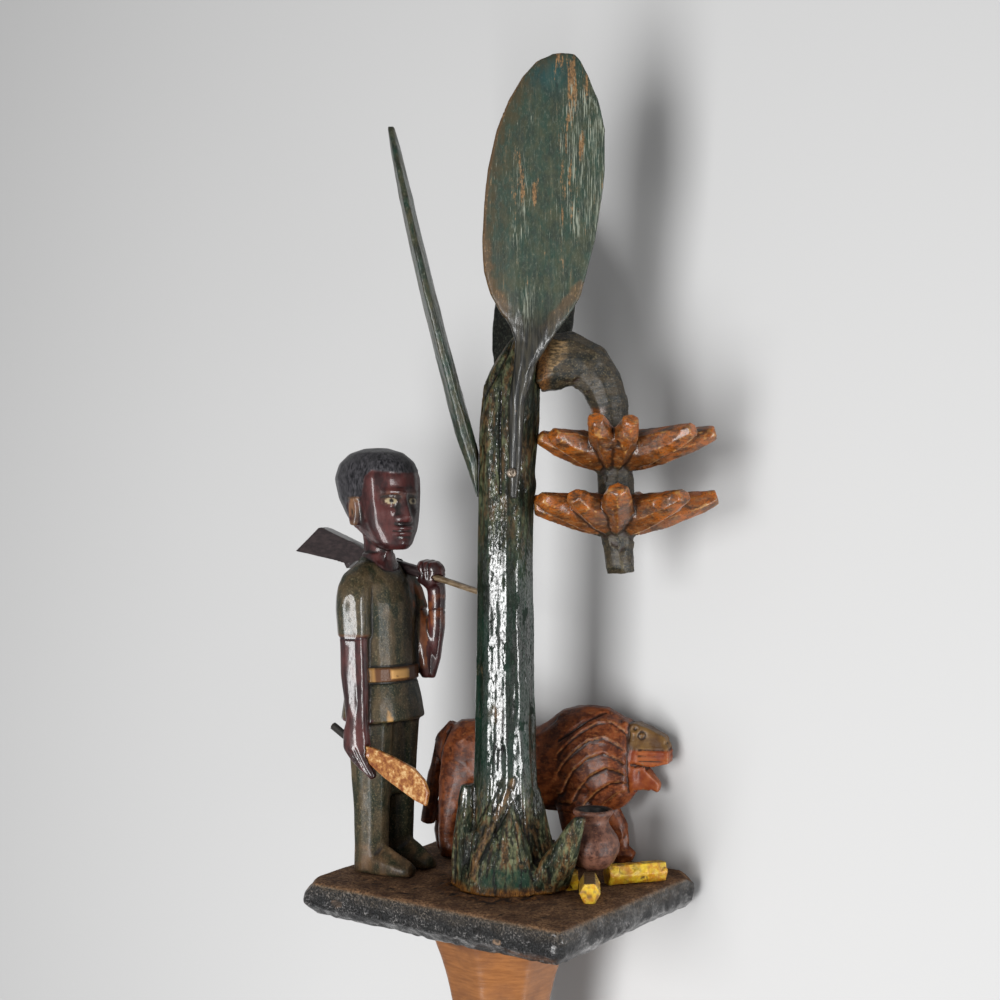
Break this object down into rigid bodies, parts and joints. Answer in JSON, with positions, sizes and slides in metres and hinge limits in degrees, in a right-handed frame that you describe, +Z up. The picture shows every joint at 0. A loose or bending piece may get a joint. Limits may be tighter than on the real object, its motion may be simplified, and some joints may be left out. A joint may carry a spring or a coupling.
{
  "type": "linguist staff",
  "caption": "Carved and painted wooden staff lying down, its finial a hunter, a plantain tree and a lion on a square platform above a flared capital and faceted shaft.",
  "frame": {"origin": "centre of the footprint's bounding box, on the floor the staff lies on", "axes": "+Y from the foot of the shaft towards the finial, +X the way the hunter faces, along the platform's long side, +Z up as the staff lies, towards the hunter's right side"},
  "size_m": [0.2198, 1.519, 0.1278],
  "materials": {
    "gilded_wood": "worn gold-brown paint over carved wood",
    "platform_black": "thick black paint over wood, dusty dark brown on top",
    "trunk_green": "glossy dark teal-green paint over carved wood",
    "leaf_green": "worn matt teal paint over carved wood",
    "side_leaf_green": "dark teal-green paint over carved wood",
    "leaf_black": "near-black paint over carved wood",
    "fruit_gold": "worn orange-gold paint over carved wood",
    "hunter_paint": "varnished dark paints over carved wood",
    "rifle_paint": "dark paint over carved wood",
    "machete_gold": "mottled gold paint over carved wood",
    "lion_brown": "varnished red-brown paint over carved wood",
    "pot_red": "satin dark red paint over turned wood",
    "log_yellow": "bright yellow paint over split wood",
    "iron": "dark worn iron"
  },
  "bodies": {
    "root": {"staff_shaft": "gilded_wood", "platform": "platform_black", "plantain_trunk": "trunk_green", "front_leaf": "leaf_green", "side_leaf": "side_leaf_green", "back_leaf": "leaf_black", "fruit_stalk": "fruit_gold", "leaf_nail": "iron", "hunter": "hunter_paint", "rifle": "rifle_paint", "machete": "machete_gold", "lion": "lion_brown", "pot": "pot_red", "log_front": "log_yellow", "log_right": "log_yellow", "log_left": "log_yellow"}
  },
  "joints": []
}
